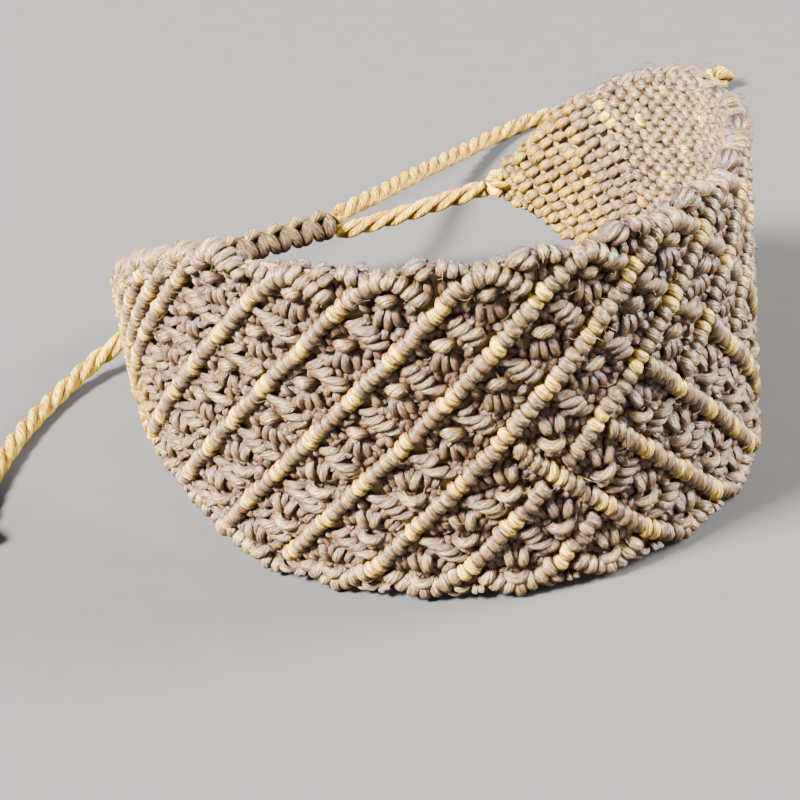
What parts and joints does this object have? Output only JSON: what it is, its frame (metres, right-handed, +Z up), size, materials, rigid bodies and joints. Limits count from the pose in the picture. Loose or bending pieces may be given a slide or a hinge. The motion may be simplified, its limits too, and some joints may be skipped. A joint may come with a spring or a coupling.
{
  "type": "waxed thread bracelet",
  "caption": "Wide cuff bracelet knotted from waxed thread in a net of diamonds, tapering to cream ends and closed by twisted cords through a sliding knot.",
  "frame": {"origin": "middle of the footprint on the surface that the bracelet stands on, leaving out the cords", "axes": "+Z up along the axis of the loop, -Y towards the middle of the wide band, +X towards its right end"},
  "size_m": [0.1198, 0.0814, 0.032],
  "materials": {
    "taupe_thread": "waxed, soft gloss",
    "cream_thread": "waxed, soft gloss",
    "cream_cord": "two-ply twisted, waxed, soft gloss",
    "dark_thread": "waxed, soft gloss"
  },
  "bodies": {
    "root": {"cuff_band": "taupe_thread", "left_end_panel": "cream_thread", "right_end_panel": "cream_thread", "left_tip_knot": "cream_thread", "right_tip_knot": "cream_thread", "slider_knot": "dark_thread", "left_closing_cord": "cream_cord", "right_closing_cord": "cream_cord", "left_tail_cord": "cream_cord", "right_tail_cord": "cream_cord", "left_end_knot": "cream_cord", "right_end_knot": "cream_cord"}
  },
  "joints": []
}
